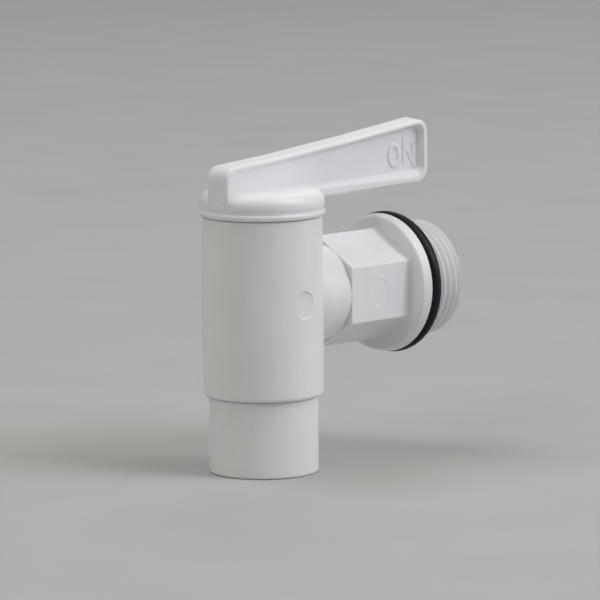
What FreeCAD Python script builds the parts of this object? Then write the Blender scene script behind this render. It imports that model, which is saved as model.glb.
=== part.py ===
import FreeCAD, Part
import os
import math

# Lever tap for a jerrycan: a moulded body that screws into the container's
# threaded outlet, a hollow rotor with the spout as its lower end, and a lever
# handle that turns the rotor about the vertical barrel axis.
#
# Frame: millimetres. Origin on the inlet axis, in the flange's sealing plane.
# +Y points along the inlet into the container, +Z is up. The barrel axis is
# vertical and lies at y = BARREL_Y. The lever stands over the inlet at rest,
# which is the closed position.

V = FreeCAD.Vector
os.makedirs("parts", exist_ok=True)

# ------------------------------------------------------------------ dimensions
BARREL_Y = -38.1            # barrel axis, in front of the sealing plane

# inlet thread, G 3/4 (14 turns per inch)
THREAD_MAJOR_R = 13.22
THREAD_MINOR_R = 12.06
THREAD_PITCH = 1.814
THREAD_CREST = 0.46         # width of each crest where its flanks would meet it
THREAD_SOFT = 0.16          # height of the bevel on both sides of a crest
THREAD_START_Y = 4.3        # first full turn, behind the seal ring
THREAD_END_Y = 12.50        # free end of the spigot
THREAD_LEAD = 0.55          # chamfer at the free end
THREAD_TURN = 200.0         # where the first turn begins, degrees round the axis
RELIEF_R = 12.65            # plain shank under the flange ring
INLET_R = 8.5               # flow bore

# flange
FLANGE_BACK_R = 15.78
FLANGE_FRONT_R = 15.30
FLANGE_FRONT_Y = -2.5
FLANGE_EDGE = 0.7
HEX_EDGE_R = 0.45

# spanner hexagon, 22 mm across flats, and the round neck
HEX_AF = 22.0
HEX_START_Y = -21.0
HEX_END_Y = -3.6
HEX_FOOT_R = 1.1            # fillet where the hexagon meets the flange
NECK_R_BARREL = 11.25
NECK_R_HEX = 10.92
MARK_R = 3.1                # shallow round moulding recesses
MARK_FLOOR_R = 2.75
MARK_FLOOR_X = 13.19        # flat floor of the one on the barrel
MARK_HEX_DEPTH = 0.08

# barrel of the body (radius, height)
BODY_BORE_R = 11.86
BODY_BOTTOM_Z = -21.2
BODY_TOP_Z = 21.1
BODY_SHOULDER_Z = 18.78     # the handle's skirt covers the thinner rim above
BODY_RIM_R = 12.68

# rotor
ROTOR_R = 11.80
ROTOR_TOP_Z = 17.5
ROTOR_BORE_R = 9.0
ROTOR_BORE_TOP_Z = 9.4
PORT_R = 7.8
SPOUT_R = 12.20             # straight outside, for a push-on hose
SPOUT_BORE_END_R = 9.9
SPOUT_END_Z = -38.4
SPOUT_TOP_Z = -21.40        # shoulder that runs under the body's lower face
SOCKET_AF = 12.1

# small seal rings on the rotor
RING_R = 0.75               # half the cord section
RING_MEAN_R = 11.07
RING_UP_Z = 14.2
RING_LOW_Z = -14.2
GROOVE_R = 10.38
GROOVE_HALF = 0.95

# saddle seal round the inlet mouth
SADDLE_R_IN = 9.1
SADDLE_R_OUT = 10.3
SADDLE_BACK_Y = 14.6        # measured from the barrel axis
SADDLE_FACE_R = 11.84

# flange ring
FLANGE_RING_R = 1.75
FLANGE_RING_MEAN_R = 14.35
FLANGE_RING_Y = 1.70

# lever handle
CAP_R = 13.88
CAP_BOTTOM_Z = 21.25
CAP_TOP_Z = 24.6
CAP_SHOULDER_R = 2.7
CAP_WAIST_R = 13.74         # between the bead and the cap's wall
SKIRT_IN_R = 12.85
SKIRT_BOTTOM_Z = 18.92
BEAD_R = 0.82               # half-round bead round the skirt's lower edge
BEAD_MID_R = 13.20
BEAD_MID_Z = 19.74
PLUG_R = 11.78
PLUG_BOTTOM_Z = 17.6
STEM_AF = 12.0
STEM_HEX_BOTTOM_Z = 14.6
STEM_PILOT_R = 5.75
STEM_BOTTOM_Z = 12.1
STEM_GROOVE_R = 4.7
LEVER_HALF = 3.2
TIP_Y, TIP_Z = 49.62, 36.92 # the tip's upper corner, from the barrel axis
TIP_CORNER_NEAR = 2.8       # its radius on the +X side and on the -X side
TIP_CORNER_FAR = 1.4
LEVER_EDGE_R = 0.6
PANEL_DEPTH_ROOT = 0.15     # depth of the recessed panels at PANEL_Y0
PANEL_DEPTH_TIP = 1.8       # and at PANEL_Y1, from the barrel axis
PANEL_Y0, PANEL_Y1 = -11.6, 47.7

# turning stop: a lug on the handle's plug in an arc groove of the bore's rim
STOP_HALF_DEG = 6.0
STOP_TURN_DEG = 90.0
STOP_CLEAR_DEG = 1.0
STOP_LUG_R = 12.95
STOP_GROOVE_R = 13.0
STOP_LUG_Z = 19.3
STOP_GROOVE_Z = 19.1

# split snap ring that holds the handle in the rotor
SNAP_IN_R = 4.75
SNAP_OUT_R = 6.85
SNAP_Z0 = 13.3
SNAP_Z1 = 14.4


# --------------------------------------------------------------------- helpers
def revolve_z(points):
    """Solid of revolution about the barrel axis from (radius, z) points."""
    pts = [V(r, 0, z) for r, z in points]
    face = Part.Face(Part.makePolygon(pts + [pts[0]]))
    solid = face.revolve(V(0, 0, 0), V(0, 0, 1), 360)
    solid.translate(V(0, BARREL_Y, 0))
    return solid


def revolve_z_edges(edges):
    """Solid of revolution about the barrel axis from edges in the XZ plane."""
    face = Part.Face(Part.Wire(edges))
    solid = face.revolve(V(0, 0, 0), V(0, 0, 1), 360)
    solid.translate(V(0, BARREL_Y, 0))
    return solid


def revolve_y(points):
    """Solid of revolution about the inlet axis from (radius, y) points."""
    pts = [V(r, y, 0) for r, y in points]
    face = Part.Face(Part.makePolygon(pts + [pts[0]]))
    return face.revolve(V(0, 0, 0), V(0, 1, 0), 360)


def cyl_z(r, z0, z1):
    return Part.makeCylinder(r, z1 - z0, V(0, BARREL_Y, z0), V(0, 0, 1))


def cyl_y(r, y0, y1):
    return Part.makeCylinder(r, y1 - y0, V(0, y0, 0), V(0, 1, 0))


def sector_z(r, z0, z1, mid_deg, half_deg):
    """Pie slice about the barrel axis, centred on mid_deg from +X."""
    pie = Part.makeCylinder(r, z1 - z0, V(0, 0, z0), V(0, 0, 1), 2 * half_deg)
    pie.rotate(V(0, 0, 0), V(0, 0, 1), mid_deg - half_deg)
    pie.translate(V(0, BARREL_Y, 0))
    return pie


def hexagon_y(af, y0, y1):
    """Hexagonal prism along Y with two flats facing +X and -X."""
    rc = af / 2.0 / math.cos(math.radians(30))
    pts = [V(rc * math.cos(math.radians(30 + 60 * i)), y0,
             rc * math.sin(math.radians(30 + 60 * i))) for i in range(6)]
    face = Part.Face(Part.makePolygon(pts + [pts[0]]))
    return face.extrude(V(0, y1 - y0, 0))


def hexagon_z(af, z0, z1):
    """Hexagonal prism along the barrel axis with two flats facing +X and -X."""
    rc = af / 2.0 / math.cos(math.radians(30))
    pts = [V(rc * math.cos(math.radians(30 + 60 * i)),
             BARREL_Y + rc * math.sin(math.radians(30 + 60 * i)), z0)
           for i in range(6)]
    face = Part.Face(Part.makePolygon(pts + [pts[0]]))
    return face.extrude(V(0, 0, z1 - z0))


def torus_z(mean_r, r, z):
    return Part.makeTorus(mean_r, r, V(0, BARREL_Y, z), V(0, 0, 1))


def write(name, shape):
    if shape.ShapeType == "Compound" and len(shape.Solids) == 1:
        shape = shape.Solids[0]
    if not shape.isValid():
        print("INVALID", name)
    shape.exportStep("parts/%s.step" % name)
    bb = shape.BoundBox
    print("%-20s solids %d  vol %9.2f  x %.2f..%.2f y %.2f..%.2f z %.2f..%.2f"
          % (name, len(shape.Solids), shape.Volume, bb.XMin, bb.XMax,
             bb.YMin, bb.YMax, bb.ZMin, bb.ZMax))
    return shape


# -------------------------------------------------------------------- tap body
def make_body():
    def arc(a, b, c):
        return Part.Arc(V(a[0], 0, a[1]), V(b[0], 0, b[1]), V(c[0], 0, c[1])).toShape()

    def line(a, b):
        return Part.LineSegment(V(a[0], 0, a[1]), V(b[0], 0, b[1])).toShape()

    # outer profile of the barrel, bottom to top, with a rounded lower lip and
    # a thinner rim at the top
    k = math.sqrt(0.5)
    z0 = BODY_BOTTOM_Z
    lip_r = 13.44
    outer = [
        line((0, z0), (lip_r - 0.9, z0)),
        arc((lip_r - 0.9, z0), (lip_r - 0.9 + 0.9 * k, z0 + 0.9 - 0.9 * k), (lip_r, z0 + 0.9)),
        line((lip_r, z0 + 0.9), (13.55, 0.0)),
        line((13.55, 0.0), (13.33, BODY_SHOULDER_Z - 0.12)),
        line((13.33, BODY_SHOULDER_Z - 0.12), (13.21, BODY_SHOULDER_Z)),
        line((13.21, BODY_SHOULDER_Z), (BODY_RIM_R, BODY_SHOULDER_Z)),
        line((BODY_RIM_R, BODY_SHOULDER_Z), (BODY_RIM_R, BODY_TOP_Z - 0.2)),
        line((BODY_RIM_R, BODY_TOP_Z - 0.2), (BODY_RIM_R - 0.2, BODY_TOP_Z)),
        line((BODY_RIM_R - 0.2, BODY_TOP_Z), (0, BODY_TOP_Z)),
        line((0, BODY_TOP_Z), (0, z0)),
    ]
    body = revolve_z_edges(outer)

    # neck, hexagon, flange and plain shank, all on the inlet axis
    neck = revolve_y([(0, BARREL_Y + 6), (NECK_R_BARREL, BARREL_Y + 6),
                      (NECK_R_BARREL, BARREL_Y + 10), (NECK_R_HEX, HEX_START_Y + 0.4),
                      (0, HEX_START_Y + 0.4)])
    body = body.fuse(neck)
    hexa = hexagon_y(HEX_AF, HEX_START_Y, FLANGE_FRONT_Y + 0.6)
    hexa = hexa.makeFillet(HEX_EDGE_R, [e for e in hexa.Edges
                                        if abs(e.Vertexes[0].Point.y - e.Vertexes[-1].Point.y) > 5])
    fe = FLANGE_EDGE
    turn = [(FLANGE_FRONT_R + 0.08 - fe * (1 - math.sin(math.radians(t))),
             FLANGE_FRONT_Y + fe * (1 - math.cos(math.radians(t)))) for t in (0, 18, 36, 54, 72, 90)]
    flange = revolve_y([(0, FLANGE_FRONT_Y)] + turn +
                       [(FLANGE_BACK_R, -0.25), (FLANGE_BACK_R - 0.2, 0.0), (0, 0.0)])
    hexa = hexa.fuse(flange)
    # foot fillet between the six flats and the flange face
    foot = [e for e in hexa.Edges
            if all(abs(v.Point.y - FLANGE_FRONT_Y) < 1e-4 for v in e.Vertexes)
            and e.Length < 14 and e.Length > 10
            and all(math.hypot(v.Point.x, v.Point.z) < 12.9 for v in e.Vertexes)]
    try:
        hexa = hexa.makeFillet(HEX_FOOT_R, foot)
    except Exception as err:
        print("foot fillet left out:", err)
    body = body.fuse(hexa)

    # threaded spigot, made along Z and then laid on the inlet axis: a plain
    # shank, a cylinder and its lead chamfer, with one helical groove cut last
    depth = THREAD_MAJOR_R - THREAD_MINOR_R
    top_w = THREAD_PITCH - THREAD_CREST
    bot_w = top_w - 2 * depth * math.tan(math.radians(27.5))
    over = 0.15
    soft_w = bot_w + 2 * (depth - THREAD_SOFT) * math.tan(math.radians(27.5))
    top_wo = soft_w + 2 * (THREAD_SOFT + over) * 0.9
    ri, rs, ro = THREAD_MINOR_R, THREAD_MAJOR_R - THREAD_SOFT, THREAD_MAJOR_R + over
    step = THREAD_START_Y - 0.35
    start = THREAD_START_Y + 0.75
    helix = Part.makeLongHelix(THREAD_PITCH, THREAD_END_Y - start + 1.2, ri)
    prof = Part.makePolygon([V(ri, 0, -bot_w / 2), V(rs, 0, -soft_w / 2), V(ro, 0, -top_wo / 2),
                             V(ro, 0, top_wo / 2), V(rs, 0, soft_w / 2), V(ri, 0, bot_w / 2),
                             V(ri, 0, -bot_w / 2)])
    groove = Part.Wire(helix.Edges).makePipeShell([prof], True, True)
    groove.translate(V(0, 0, start))
    groove.rotate(V(0, 0, 0), V(0, 0, 1), THREAD_TURN)
    blank = Part.makeCylinder(THREAD_MAJOR_R, THREAD_END_Y - THREAD_LEAD - step,
                              V(0, 0, step), V(0, 0, 1))
    blank = blank.fuse(Part.makeCone(THREAD_MAJOR_R, THREAD_MAJOR_R - THREAD_LEAD, THREAD_LEAD,
                                     V(0, 0, THREAD_END_Y - THREAD_LEAD), V(0, 0, 1)))
    blank = blank.fuse(Part.makeCylinder(RELIEF_R, step + 1.0, V(0, 0, -1.0), V(0, 0, 1)))
    threaded = blank.cut(groove)
    turns = (THREAD_END_Y - start) / THREAD_PITCH
    expect = (top_w + bot_w) / 2 * depth * turns * 2 * math.pi * (ri + THREAD_MAJOR_R) / 2
    print("groove removed %.1f mm3, expected about %.1f" % (blank.Volume - threaded.Volume, expect))
    threaded.rotate(V(0, 0, 0), V(1, 0, 0), -90)
    print("spigot valid", threaded.isValid(), "solids", len(threaded.Solids))
    v0 = body.Volume
    body = body.fuse(threaded)
    print("body valid", body.isValid(), "solids", len(body.Solids), "grew by", body.Volume - v0)

    # hollow: barrel bore, its lower chamfer, inlet bore and saddle seal pocket
    body = body.cut(cyl_z(BODY_BORE_R, BODY_BOTTOM_Z - 1, BODY_TOP_Z + 1))
    body = body.cut(revolve_z([(0, BODY_BOTTOM_Z - 1), (BODY_BORE_R + 0.3, BODY_BOTTOM_Z - 1),
                               (BODY_BORE_R + 0.3, BODY_BOTTOM_Z),
                               (BODY_BORE_R - 0.1, BODY_BOTTOM_Z + 0.4), (0, BODY_BOTTOM_Z + 0.4)]))
    body = body.cut(cyl_y(INLET_R, BARREL_Y + 5, THREAD_END_Y + 1))
    body = body.cut(cyl_y(SADDLE_R_OUT, BARREL_Y + 5, BARREL_Y + SADDLE_BACK_Y))
    # inlet mouth chamfer inside the free end
    body = body.cut(revolve_y([(0, THREAD_END_Y - 0.6), (INLET_R, THREAD_END_Y - 0.6),
                               (INLET_R + 0.7, THREAD_END_Y + 0.1), (0, THREAD_END_Y + 0.1)]))

    # arc groove for the handle's turning stop
    groove = sector_z(STOP_GROOVE_R, STOP_GROOVE_Z, BODY_TOP_Z + 1, 270,
                      STOP_TURN_DEG + STOP_HALF_DEG + STOP_CLEAR_DEG)
    body = body.cut(groove)

    # shallow round recesses on the barrel and on the hexagon's side flat, each
    # with a flat floor and a sloping wall
    fall = (MARK_R - MARK_FLOOR_R) / 0.36
    pad = Part.makeCone(MARK_FLOOR_R, MARK_FLOOR_R + 0.8 * fall, 0.8,
                        V(MARK_FLOOR_X, BARREL_Y, 0), V(1, 0, 0))
    body = body.cut(pad)
    mid_y = (HEX_START_Y + HEX_END_Y) / 2.0
    ring = Part.makeCone(MARK_FLOOR_R, MARK_R + MARK_R - MARK_FLOOR_R, 2 * MARK_HEX_DEPTH,
                         V(HEX_AF / 2 - MARK_HEX_DEPTH, mid_y, 0), V(1, 0, 0))
    body = body.cut(ring)
    return body.removeSplitter()


# ----------------------------------------------------------------------- rotor
def make_rotor():
    rotor = revolve_z([
        (0, SPOUT_END_Z), (SPOUT_R - 0.40, SPOUT_END_Z), (SPOUT_R - 0.12, SPOUT_END_Z + 0.12),
        (SPOUT_R, SPOUT_END_Z + 0.40), (SPOUT_R, SPOUT_TOP_Z),
        (ROTOR_R, SPOUT_TOP_Z),
        (ROTOR_R, RING_LOW_Z - GROOVE_HALF), (GROOVE_R, RING_LOW_Z - GROOVE_HALF),
        (GROOVE_R, RING_LOW_Z + GROOVE_HALF), (ROTOR_R, RING_LOW_Z + GROOVE_HALF),
        (ROTOR_R, RING_UP_Z - GROOVE_HALF), (GROOVE_R, RING_UP_Z - GROOVE_HALF),
        (GROOVE_R, RING_UP_Z + GROOVE_HALF), (ROTOR_R, RING_UP_Z + GROOVE_HALF),
        (ROTOR_R, ROTOR_TOP_Z - 0.5), (ROTOR_R - 0.5, ROTOR_TOP_Z), (0, ROTOR_TOP_Z)])
    # flow bore, opening slightly to the spout's end
    rotor = rotor.cut(revolve_z([(0, SPOUT_END_Z - 1), (SPOUT_BORE_END_R + 0.4, SPOUT_END_Z - 1),
                                 (SPOUT_BORE_END_R + 0.4, SPOUT_END_Z),
                                 (SPOUT_BORE_END_R, SPOUT_END_Z + 0.4),
                                 (SPOUT_BORE_END_R, SPOUT_END_Z + 12.0),
                                 (ROTOR_BORE_R, SPOUT_END_Z + 16.0),
                                 (ROTOR_BORE_R, ROTOR_BORE_TOP_Z - 0.8),
                                 (ROTOR_BORE_R - 0.8, ROTOR_BORE_TOP_Z), (0, ROTOR_BORE_TOP_Z)]))
    # side port, turned away from the inlet at rest (closed)
    port = Part.makeCylinder(PORT_R, 16, V(0, BARREL_Y, 0), V(-1, 0, 0))
    rotor = rotor.cut(port)
    # socket for the handle's stem: hexagon, snap-ring groove, pilot hole
    rotor = rotor.cut(hexagon_z(SOCKET_AF, SNAP_Z1 - 0.05, ROTOR_TOP_Z + 1))
    rotor = rotor.cut(cyl_z(SNAP_OUT_R + 0.15, SNAP_Z0 - 0.05, SNAP_Z1 + 0.05))
    rotor = rotor.cut(cyl_z(STEM_PILOT_R + 0.1, STEM_BOTTOM_Z - 0.3, SNAP_Z0))
    return rotor.removeSplitter()


# ---------------------------------------------------------------- lever handle
def lever_outline():
    """Side outline of the lever in (y from the barrel axis, z)."""
    return [(-13.74, 22.6, 0.0), (-13.74, 30.46, 2.9), (2.8, 31.73, 8.0), (26.0, 34.11, 60.0),
            (TIP_Y, TIP_Z, 0.0), (TIP_Y + 0.22, 22.36, 3.7), (14.5, 21.61, 0.0), (10.0, 21.5, 0.0)]


def rounded_polygon(points, x):
    """Closed wire in the plane X = x from (y, z, corner radius) points."""
    n = len(points)
    starts, ends, arcs = [], [], []
    for i in range(n):
        p = V(x, points[i][0], points[i][1])
        a = V(x, points[i - 1][0], points[i - 1][1])
        b = V(x, points[(i + 1) % n][0], points[(i + 1) % n][1])
        r = points[i][2]
        if r <= 0:
            starts.append(p)
            ends.append(p)
            arcs.append(None)
            continue
        u = (a - p).normalize()
        w = (b - p).normalize()
        ang = math.acos(max(-1, min(1, u.dot(w))))
        t = r / math.tan(ang / 2)
        s, e = p + u * t, p + w * t
        c = p + (u + w).normalize() * (r / math.sin(ang / 2))
        m = c + (p - c).normalize() * r
        starts.append(s)
        ends.append(e)
        arcs.append(Part.Arc(s, m, e).toShape())
    edges = []
    for i in range(n):
        if arcs[i] is not None:
            edges.append(arcs[i])
        nxt = (i + 1) % n
        if (starts[nxt] - ends[i]).Length > 1e-6:
            edges.append(Part.LineSegment(ends[i], starts[nxt]).toShape())
    return Part.Wire(edges)


def make_handle():
    # lever blade
    wire = rounded_polygon([(y + BARREL_Y, z, r) for y, z, r in lever_outline()], -LEVER_HALF)
    blade = Part.Face(wire).extrude(V(2 * LEVER_HALF, 0, 0))
    corner = [e for e in blade.Edges
              if all(abs(v.Point.y - (BARREL_Y + TIP_Y)) < 1e-3 and abs(v.Point.z - TIP_Z) < 1e-3
                     for v in e.Vertexes)]
    first = corner[0].Vertexes[0].Point.x > 0
    radii = (TIP_CORNER_NEAR, TIP_CORNER_FAR) if first else (TIP_CORNER_FAR, TIP_CORNER_NEAR)
    blade = blade.makeFillet(radii[0], radii[1], corner)
    print("tip corner valid", blade.isValid(), blade.Volume)

    def rounded(shape, radius, low):
        """Round the profile's edges: the underside's or all the others."""
        picked = []
        for e in shape.Edges:
            c = e.CenterOfMass
            if abs(abs(c.x) - LEVER_HALF) > 1e-3 or c.z < 21.9 and c.y < BARREL_Y + 14.0:
                continue
            under = c.z < 23.0 and c.y > BARREL_Y + 14.0 and c.y < BARREL_Y + 46.5
            if c.z > 22.0 and under == low:
                picked.append(e)
        return shape.makeFillet(radius, picked)

    try:
        whole = rounded(blade, LEVER_EDGE_R, False)
        if whole.isValid() and len(whole.Solids) == 1:
            blade = whole
        print("edge rounding valid", whole.isValid(), whole.Volume)
    except Exception as err:
        print("lever edge rounding left out:", err)

    # recessed panel on each broad side, shallow at the root, deeper at the
    # tip, with sloping walls: the same corners at the mouth and at the floor
    def trace(points, n=5):
        out = []
        m = len(points)
        for i in range(m):
            y, z, r = points[i]
            p, a, b = V(0, y, z), V(0, *points[i - 1][:2]), V(0, *points[(i + 1) % m][:2])
            u, w = (a - p).normalize(), (b - p).normalize()
            ang = math.acos(max(-1, min(1, u.dot(w))))
            t = r / math.tan(ang / 2)
            c = p + (u + w).normalize() * (r / math.sin(ang / 2))
            s0, s1 = p + u * t - c, p + w * t - c
            sweep = math.pi - ang
            for j in range(n + 1):
                f = j / n
                q = c + (s0 * math.sin((1 - f) * sweep) + s1 * math.sin(f * sweep)) * (1 / math.sin(sweep))
                out.append((q.y, q.z))
        return out

    mouth = trace([(-12.35, 23.85, 0.7), (-12.35, 29.72, 2.0), (2.8, 31.03, 6.0), (26.0, 33.41, 60.0),
                   (48.40, 35.95, 2.0), (48.45, 23.55, 2.4)])
    floor = trace([(-11.6, 24.9, 0.5), (-11.6, 29.0, 1.3), (2.8, 30.28, 6.0), (26.0, 32.66, 60.0),
                   (47.70, 35.12, 1.2), (47.70, 25.2, 1.4)])
    fall = (PANEL_DEPTH_TIP - PANEL_DEPTH_ROOT) / (PANEL_Y1 - PANEL_Y0)

    def panel(sign):
        inner, outer = [], []
        for (ym, zm), (yf, zf) in zip(mouth, floor):
            depth = PANEL_DEPTH_ROOT + fall * (yf - PANEL_Y0)
            f = (depth + 0.04) / depth
            inner.append(V(sign * (LEVER_HALF - depth), BARREL_Y + yf, zf))
            outer.append(V(sign * (LEVER_HALF + 0.04), BARREL_Y + yf + (ym - yf) * f, zf + (zm - zf) * f))
        n = len(inner)
        faces = [Part.Face(Part.makePolygon(inner + inner[:1])), Part.Face(Part.makePolygon(outer + outer[:1]))]
        for i in range(n):
            j = (i + 1) % n
            faces.append(Part.Face(Part.makePolygon([inner[i], inner[j], outer[j], inner[i]])))
            faces.append(Part.Face(Part.makePolygon([inner[i], outer[j], outer[i], inner[i]])))
        shell = Part.Shell(faces)
        solid = Part.Solid(shell)
        if solid.Volume < 0:
            solid.reverse()
        print("panel", sign, "valid", solid.isValid(), solid.Volume)
        return solid

    blade = blade.cut(panel(1)).cut(panel(-1))
    print("blade valid", blade.isValid(), blade.Volume, len(blade.Solids))

    # cap with a rounded shoulder, guide plug, hexagon drive and pilot
    def line(a, b):
        return Part.LineSegment(V(a[0], 0, a[1]), V(b[0], 0, b[1])).toShape()

    def bow(a, b, c):
        return Part.Arc(V(a[0], 0, a[1]), V(b[0], 0, b[1]), V(c[0], 0, c[1])).toShape()

    bead_top = BEAD_MID_Z + math.sqrt(BEAD_R ** 2 - (CAP_WAIST_R - BEAD_MID_R) ** 2)
    k = math.sqrt(0.5)
    s = CAP_SHOULDER_R
    cap = revolve_z_edges([
        line((0, PLUG_BOTTOM_Z), (PLUG_R - 0.4, PLUG_BOTTOM_Z)),
        line((PLUG_R - 0.4, PLUG_BOTTOM_Z), (PLUG_R, PLUG_BOTTOM_Z + 0.4)),
        line((PLUG_R, PLUG_BOTTOM_Z + 0.4), (PLUG_R, CAP_BOTTOM_Z)),
        line((PLUG_R, CAP_BOTTOM_Z), (SKIRT_IN_R, CAP_BOTTOM_Z)),
        line((SKIRT_IN_R, CAP_BOTTOM_Z), (SKIRT_IN_R, SKIRT_BOTTOM_Z)),
        line((SKIRT_IN_R, SKIRT_BOTTOM_Z), (BEAD_MID_R, SKIRT_BOTTOM_Z)),
        bow((BEAD_MID_R, SKIRT_BOTTOM_Z), (BEAD_MID_R + BEAD_R, BEAD_MID_Z), (CAP_WAIST_R, bead_top)),
        line((CAP_WAIST_R, bead_top), (CAP_WAIST_R, 20.85)),
        line((CAP_WAIST_R, 20.85), (CAP_R, 21.45)),
        line((CAP_R, 21.45), (CAP_R, CAP_TOP_Z - s)),
        Part.Arc(V(CAP_R, 0, CAP_TOP_Z - s), V(CAP_R - s + s * k, 0, CAP_TOP_Z - s + s * k),
                 V(CAP_R - s, 0, CAP_TOP_Z)).toShape(),
        line((CAP_R - s, CAP_TOP_Z), (0, CAP_TOP_Z)),
        line((0, CAP_TOP_Z), (0, PLUG_BOTTOM_Z))])
    handle = cap.fuse(blade)
    handle = handle.fuse(hexagon_z(STEM_AF, STEM_HEX_BOTTOM_Z, PLUG_BOTTOM_Z + 0.5))
    pilot = revolve_z([(0, STEM_BOTTOM_Z), (STEM_PILOT_R - 0.5, STEM_BOTTOM_Z),
                       (STEM_PILOT_R, STEM_BOTTOM_Z + 0.5), (STEM_PILOT_R, SNAP_Z0 - 0.03),
                       (STEM_GROOVE_R, SNAP_Z0 - 0.03), (STEM_GROOVE_R, STEM_HEX_BOTTOM_Z + 0.2),
                       (0, STEM_HEX_BOTTOM_Z + 0.2)])
    handle = handle.fuse(pilot)
    # stop lug on the front of the plug
    lug = sector_z(STOP_LUG_R, STOP_LUG_Z, CAP_BOTTOM_Z + 0.2, 270, STOP_HALF_DEG)
    lug = lug.cut(cyl_z(PLUG_R - 1.0, STOP_LUG_Z - 1, CAP_BOTTOM_Z + 1))
    handle = handle.fuse(lug)
    return handle.removeSplitter()


# ----------------------------------------------------------------------- seals
def make_saddle():
    ring = cyl_y(SADDLE_R_OUT - 0.02, BARREL_Y + 6, BARREL_Y + SADDLE_BACK_Y - 0.02)
    ring = ring.cut(cyl_y(SADDLE_R_IN, BARREL_Y + 5, BARREL_Y + SADDLE_BACK_Y + 1))
    return ring.cut(cyl_z(SADDLE_FACE_R, -15, 15))


def make_snap_ring():
    ring = cyl_z(SNAP_OUT_R, SNAP_Z0, SNAP_Z1).cut(cyl_z(SNAP_IN_R, SNAP_Z0 - 1, SNAP_Z1 + 1))
    gap = Part.makeBox(20, 2.4, 4, V(0, BARREL_Y - 1.2, SNAP_Z0 - 1))
    return ring.cut(gap)


tap_body = write("tap_body", make_body())
rotor_barrel = write("rotor_barrel", make_rotor())
lever_handle = write("lever_handle", make_handle())
upper_ring = write("upper_rotor_o_ring", torus_z(RING_MEAN_R, RING_R, RING_UP_Z))
lower_ring = write("lower_rotor_o_ring", torus_z(RING_MEAN_R, RING_R, RING_LOW_Z))
saddle = write("inlet_port_seal", make_saddle())
snap = write("handle_snap_ring", make_snap_ring())
flange_ring = write("flange_o_ring", Part.makeTorus(FLANGE_RING_MEAN_R, FLANGE_RING_R,
                                                    V(0, FLANGE_RING_Y, 0), V(0, 1, 0)))
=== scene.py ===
import bpy
import bmesh
import math
from mathutils import Matrix, Vector


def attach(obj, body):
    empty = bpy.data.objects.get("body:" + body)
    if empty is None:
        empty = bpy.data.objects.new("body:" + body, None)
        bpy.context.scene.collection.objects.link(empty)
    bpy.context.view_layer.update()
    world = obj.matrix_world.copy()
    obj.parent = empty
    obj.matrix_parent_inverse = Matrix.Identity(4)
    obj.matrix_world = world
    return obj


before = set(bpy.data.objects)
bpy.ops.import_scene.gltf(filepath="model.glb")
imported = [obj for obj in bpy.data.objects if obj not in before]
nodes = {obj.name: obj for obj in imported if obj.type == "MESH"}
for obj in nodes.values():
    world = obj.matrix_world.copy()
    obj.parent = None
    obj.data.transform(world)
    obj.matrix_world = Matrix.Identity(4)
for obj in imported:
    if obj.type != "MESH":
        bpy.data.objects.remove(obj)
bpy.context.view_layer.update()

scene = bpy.context.scene
MM = 0.001
BARREL_Y = -38.1 * MM


# ---------------------------------------------------------------- camera
# A long lens one metre from the barrel's middle, about 46 degrees round from
# the front and 8 degrees above the horizon, rolled by a third of a degree.
def make_camera():
    back = Vector((0.7122, -0.6873, 0.1433)).normalized()
    right = Vector((0, 0, 1)).cross(back).normalized()
    up = back.cross(right)
    centre = Vector((0, BARREL_Y, 0))
    place = centre + back * 1.0
    aim = centre + right * (8.263 * MM) - up * (0.182 * MM)
    b = (place - aim).normalized()
    r = Vector((0, 0, 1)).cross(b).normalized()
    u = b.cross(r)
    roll = math.radians(0.37)
    r2 = r * math.cos(roll) - u * math.sin(roll)
    u2 = u * math.cos(roll) + r * math.sin(roll)
    data = bpy.data.cameras.new("photo_camera")
    cam = bpy.data.objects.new("photo_camera", data)
    scene.collection.objects.link(cam)
    m = Matrix((r2, u2, b)).transposed().to_4x4()
    m.translation = place
    cam.matrix_world = m
    data.sensor_width = 36.0
    data.lens = 270.6
    data.clip_start = 0.05
    data.clip_end = 60.0
    scene.camera = cam


make_camera()


# -------------------------------------------------------------- materials
def new_material(name):
    mat = bpy.data.materials.new(name)
    mat.use_nodes = True
    tree = mat.node_tree
    tree.nodes.clear()
    out = tree.nodes.new("ShaderNodeOutputMaterial")
    bsdf = tree.nodes.new("ShaderNodeBsdfPrincipled")
    tree.links.new(bsdf.outputs["BSDF"], out.inputs["Surface"])
    return mat, tree, bsdf


def noise(tree, vector, scale, detail=3.0, rough=0.5):
    n = tree.nodes.new("ShaderNodeTexNoise")
    n.inputs["Scale"].default_value = scale
    n.inputs["Detail"].default_value = detail
    n.inputs["Roughness"].default_value = rough
    tree.links.new(vector, n.inputs["Vector"])
    return n.outputs["Fac"]


def ramp(tree, fac, stops):
    r = tree.nodes.new("ShaderNodeValToRGB")
    els = r.color_ramp.elements
    while len(els) < len(stops):
        els.new(0.5)
    for e, (pos, col) in zip(els, stops):
        e.position = pos
        e.color = (*col, 1.0) if len(col) == 3 else col
    tree.links.new(fac, r.inputs["Fac"])
    return r.outputs["Color"]


def spread(tree, fac, lo, hi, a=0.3, b=0.7):
    m = tree.nodes.new("ShaderNodeMapRange")
    m.inputs["From Min"].default_value = a
    m.inputs["From Max"].default_value = b
    m.inputs["To Min"].default_value = lo
    m.inputs["To Max"].default_value = hi
    tree.links.new(fac, m.inputs["Value"])
    return m.outputs["Result"]


def stretched(tree, scale):
    """Object coordinates scaled along each axis."""
    tc = tree.nodes.new("ShaderNodeTexCoord")
    mp = tree.nodes.new("ShaderNodeMapping")
    mp.inputs["Scale"].default_value = scale
    tree.links.new(tc.outputs["Object"], mp.inputs["Vector"])
    return mp.outputs["Vector"]


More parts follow.
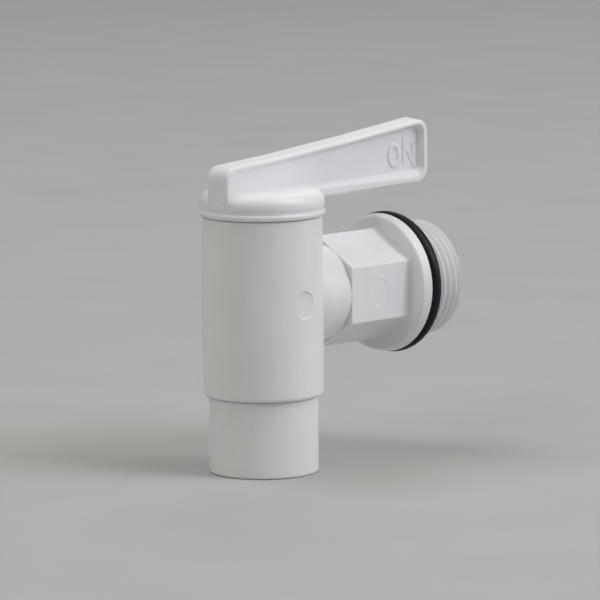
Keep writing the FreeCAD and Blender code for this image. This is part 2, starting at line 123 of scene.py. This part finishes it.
def plastic(name, light, dark, rough=(0.30, 0.42), streak=(1, 1, 1), sss=0.18):
    """White moulded polyolefin: faint clouding, flow streaks, a fine satin
    grain in the bump and small changes of gloss."""
    mat, tree, bsdf = new_material(name)
    plain = stretched(tree, (1, 1, 1))
    flow = stretched(tree, streak)
    cloud = noise(tree, plain, 95.0, 4.0, 0.55)
    lines = noise(tree, flow, 420.0, 3.0, 0.5)
    mix = tree.nodes.new("ShaderNodeMix")
    mix.data_type = "FLOAT"
    mix.inputs["Factor"].default_value = 0.35
    tree.links.new(cloud, mix.inputs["A"])
    tree.links.new(lines, mix.inputs["B"])
    colour = ramp(tree, mix.outputs["Result"], [(0.30, dark), (0.62, light)])
    tree.links.new(colour, bsdf.inputs["Base Color"])
    gloss = noise(tree, plain, 260.0, 4.0, 0.6)
    tree.links.new(spread(tree, gloss, rough[0], rough[1]), bsdf.inputs["Roughness"])
    # bump: long soft sink waves, then a fine grain
    wave = noise(tree, plain, 150.0, 2.0, 0.4)
    grain = noise(tree, plain, 5200.0, 2.0, 0.5)
    b1 = tree.nodes.new("ShaderNodeBump")
    b1.inputs["Strength"].default_value = 0.35
    b1.inputs["Distance"].default_value = 0.00010
    tree.links.new(wave, b1.inputs["Height"])
    b2 = tree.nodes.new("ShaderNodeBump")
    b2.inputs["Strength"].default_value = 0.16
    b2.inputs["Distance"].default_value = 0.00003
    tree.links.new(grain, b2.inputs["Height"])
    tree.links.new(b1.outputs["Normal"], b2.inputs["Normal"])
    tree.links.new(b2.outputs["Normal"], bsdf.inputs["Normal"])
    bsdf.inputs["IOR"].default_value = 1.50
    bsdf.inputs["Subsurface Weight"].default_value = sss
    bsdf.inputs["Subsurface Radius"].default_value = (1.0, 0.93, 0.84)
    bsdf.inputs["Subsurface Scale"].default_value = 0.0016
    bsdf.inputs["Coat Weight"].default_value = 0.0
    return mat


def rubber(name):
    """Black moulded ring: slightly mottled, satin, with a talc-like haze."""
    mat, tree, bsdf = new_material(name)
    plain = stretched(tree, (1, 1, 1))
    n1 = noise(tree, plain, 700.0, 5.0, 0.6)
    colour = ramp(tree, n1, [(0.3, (0.003, 0.003, 0.004)), (0.75, (0.009, 0.009, 0.011))])
    tree.links.new(colour, bsdf.inputs["Base Color"])
    n2 = noise(tree, plain, 1500.0, 3.0, 0.5)
    tree.links.new(spread(tree, n2, 0.34, 0.52), bsdf.inputs["Roughness"])
    b = tree.nodes.new("ShaderNodeBump")
    b.inputs["Strength"].default_value = 0.25
    b.inputs["Distance"].default_value = 0.00004
    tree.links.new(noise(tree, plain, 3500.0, 2.0, 0.5), b.inputs["Height"])
    tree.links.new(b.outputs["Normal"], bsdf.inputs["Normal"])
    bsdf.inputs["IOR"].default_value = 1.45
    bsdf.inputs["Specular IOR Level"].default_value = 0.3
    return mat


body_white = plastic("body_white", (0.83, 0.84, 0.86), (0.78, 0.79, 0.81), streak=(1, 1, 0.12))
handle_white = plastic("handle_white", (0.84, 0.85, 0.88), (0.80, 0.81, 0.84), streak=(1, 0.12, 1))
rotor_white = plastic("rotor_white", (0.83, 0.84, 0.86), (0.79, 0.80, 0.82), streak=(1, 1, 0.12))
black = rubber("black_rubber")

LOOK = {
    "tap_body": body_white,
    "rotor_barrel": rotor_white,
    "lever_handle": handle_white,
    "handle_snap_ring": rotor_white,
    "upper_rotor_o_ring": black,
    "lower_rotor_o_ring": black,
    "inlet_port_seal": black,
    "flange_o_ring": black,
}
for name, mat in LOOK.items():
    mesh = nodes[name].data
    mesh.materials.clear()
    mesh.materials.append(mat)


# ---------------------------------------------------------------- lettering
# Raised generic lettering on the lever's two panels: thick strokes with
# rounded shoulders. Each stroke is a chain of points in letter space, x to
# the right and z up, in millimetres, and is swept with a flat-topped section.
PANEL_Y0, PANEL_Y1 = -11.6, 47.7           # from the barrel axis
PANEL_D0, PANEL_D1 = 0.15, 1.8             # depth of the panel floor
LEVER_HALF = 3.2


def panel_x(y):
    """Distance of the panel floor from the lever's middle plane."""
    return LEVER_HALF - (PANEL_D0 + (PANEL_D1 - PANEL_D0) * (y - PANEL_Y0) / (PANEL_Y1 - PANEL_Y0))


def oval(cx, cz, rx, rz, n=48):
    return [(cx + rx * math.cos(2 * math.pi * i / n), cz + rz * math.sin(2 * math.pi * i / n))
            for i in range(n)]


def letter_strokes(ch, w, h):
    """Strokes as (points, closed) with the letter's middle at 0, 0."""
    a, b = w / 2, h / 2
    if ch == "O":
        return [(oval(0, 0, a, b), True)]
    if ch == "N":
        return [([(-a, -b), (-a, b), (a, -b), (a, b)], False)]
    if ch == "F":
        return [([(-a, -b), (-a, b), (a, b)], False), ([(-a, 0.05 * h), (a * 0.75, 0.05 * h)], False)]
    return []


def stroke_mesh(bm, points, closed, half, height, place):
    """A raised stroke: flat top, sloping rounded shoulders, sunk base."""
    section = [(-half * 1.45, -0.20), (-half * 1.30, 0.0), (-half * 1.02, height * 0.42),
               (-half * 0.72, height * 0.82), (-half * 0.38, height * 0.98), (0.0, height),
               (half * 0.38, height * 0.98), (half * 0.72, height * 0.82),
               (half * 1.02, height * 0.42), (half * 1.30, 0.0), (half * 1.45, -0.20)]
    n = len(points)
    rows = []
    for i, p in enumerate(points):
        prev = points[i - 1] if (i > 0 or closed) else None
        nxt = points[(i + 1) % n] if (i < n - 1 or closed) else None
        d1 = Vector((p[0] - prev[0], p[1] - prev[1])).normalized() if prev else None
        d2 = Vector((nxt[0] - p[0], nxt[1] - p[1])).normalized() if nxt else None
        d1 = d1 or d2
        d2 = d2 or d1
        t = (d1 + d2)
        t = t.normalized() if t.length > 1e-6 else d2
        side = Vector((-t.y, t.x))
        c = max(0.35, side.dot(Vector((-d1.y, d1.x))))
        k = 1.0 / c
        rows.append([bm.verts.new(place(p[0] + side.x * s * k, p[1] + side.y * s * k, z))
                     for s, z in section])
    m = len(section)
    for i in range(n if closed else n - 1):
        r1, r2 = rows[i], rows[(i + 1) % n]
        for j in range(m - 1):
            bm.faces.new((r1[j], r1[j + 1], r2[j + 1], r2[j]))
        bm.faces.new((r1[m - 1], r1[0], r2[0], r2[m - 1]))
    if not closed:
        bm.faces.new(list(reversed(rows[0])))
        bm.faces.new(rows[-1])


def word(name, text, side, centres, z_mid, w, h, half=0.60, height=0.26):
    """side is +1 for the +X panel and -1 for the -X panel."""
    bm = bmesh.new()
    for ch, cy in zip(text, centres):
        def place(x, z, up, cy=cy):
            y = cy + (x if side > 0 else -x)
            return Vector((side * (panel_x(y) + up) * MM, BARREL_Y + y * MM, (z_mid + z) * MM))
        for pts, closed in letter_strokes(ch, w, h):
            stroke_mesh(bm, pts, closed, half, height, place)
    bmesh.ops.recalc_face_normals(bm, faces=bm.faces)
    mesh = bpy.data.meshes.new(name)
    bm.to_mesh(mesh)
    bm.free()
    mesh.polygons.foreach_set("use_smooth", [True] * len(mesh.polygons))
    obj = bpy.data.objects.new(name, mesh)
    scene.collection.objects.link(obj)
    mesh.materials.append(handle_white)
    mod = obj.modifiers.new("edges", "EDGE_SPLIT")
    mod.split_angle = math.radians(50)
    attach(obj, "rotor")
    return obj


word("open_lettering", "ON", 1, (40.15, 45.0), 28.95, 3.05, 4.65)
word("closed_lettering", "OFF", -1, (44.9, 40.1, 35.9), 28.8, 2.6, 4.65)


# -------------------------------------------------------------------- stage
def make_floor():
    bm = bmesh.new()
    rings = (0.0, 0.3, 1.0, 3.0, 8.0)
    n = 64
    centre = bm.verts.new((0, 0, 0))
    last = None
    for r in rings[1:]:
        row = [bm.verts.new((r * math.cos(2 * math.pi * i / n), r * math.sin(2 * math.pi * i / n), 0))
               for i in range(n)]
        for i in range(n):
            k = (i + 1) % n
            if last is None:
                bm.faces.new((centre, row[i], row[k]))
            else:
                bm.faces.new((last[i], row[i], row[k], last[k]))
        last = row
    mesh = bpy.data.meshes.new("floor")
    bm.to_mesh(mesh)
    bm.free()
    floor = bpy.data.objects.new("floor", mesh)
    floor.location = (0, BARREL_Y, -38.45 * MM)
    scene.collection.objects.link(floor)
    mat, tree, bsdf = new_material("floor_paper")
    plain = stretched(tree, (1, 1, 1))
    colour = ramp(tree, noise(tree, plain, 30.0, 4.0, 0.5),
                  [(0.3, (0.44, 0.44, 0.44)), (0.7, (0.46, 0.46, 0.46))])
    tree.links.new(colour, bsdf.inputs["Base Color"])
    bsdf.inputs["Roughness"].default_value = 0.9
    bsdf.inputs["Specular IOR Level"].default_value = 0.2
    mesh.materials.append(mat)


make_floor()


def area_light(name, place, aim, size, power, colour):
    data = bpy.data.lights.new(name, "AREA")
    data.shape = "RECTANGLE"
    data.size, data.size_y = size
    data.energy = power
    data.color = colour
    obj = bpy.data.objects.new(name, data)
    scene.collection.objects.link(obj)
    p, a = Vector(place), Vector(aim)
    obj.location = p
    obj.rotation_mode = "QUATERNION"
    obj.rotation_quaternion = (a - p).to_track_quat("-Z", "Y")
    return obj


def soft_box(name, side_deg, high_deg, power, colour, size=1.2, far=2.6):
    """A square light at an angle to the right of the camera and above the floor."""
    centre = Vector((0, BARREL_Y + 0.01, 0))
    toward = Vector((0.7122, -0.6873, 0)).normalized()
    right = Vector((0, 0, 1)).cross(toward)
    a, e = math.radians(side_deg), math.radians(high_deg)
    way = (toward * math.cos(a) + right * math.sin(a)) * math.cos(e) + Vector((0, 0, 1)) * math.sin(e)
    return area_light(name, centre + way * far, centre, (size, size), power, colour)


soft_box("key_light", 70, 38, 26.4, (0.89, 0.92, 1.00))
soft_box("high_right_light", 70, 65, 14.8, (1.00, 0.95, 0.88))
soft_box("high_left_light", -110, 65, 18.2, (0.89, 0.94, 1.00))
soft_box("front_left_light", -35, 38, 10.0, (0.90, 1.00, 0.80))
soft_box("right_light", 105, 12, 8.5, (1.00, 0.91, 0.75))
soft_box("low_right_light", 70, 12, 3.7, (0.83, 0.80, 1.00))
soft_box("left_light", -70, 38, 6.6, (1.00, 0.71, 0.65))
soft_box("top_light", 0, 88, 5.6, (1.00, 0.73, 0.50))
soft_box("back_light", 170, 35, 6.5, (1.00, 0.98, 0.97))

world = bpy.data.worlds.new("studio")
scene.world = world
world.use_nodes = True
bg = world.node_tree.nodes.get("Background")
bg.inputs["Color"].default_value = (1.0, 1.0, 1.0, 1.0)
bg.inputs["Strength"].default_value = 0.10

scene.view_settings.view_transform = "Standard"
scene.view_settings.look = "None"
scene.view_settings.exposure = 0.0
scene.view_settings.gamma = 1.0
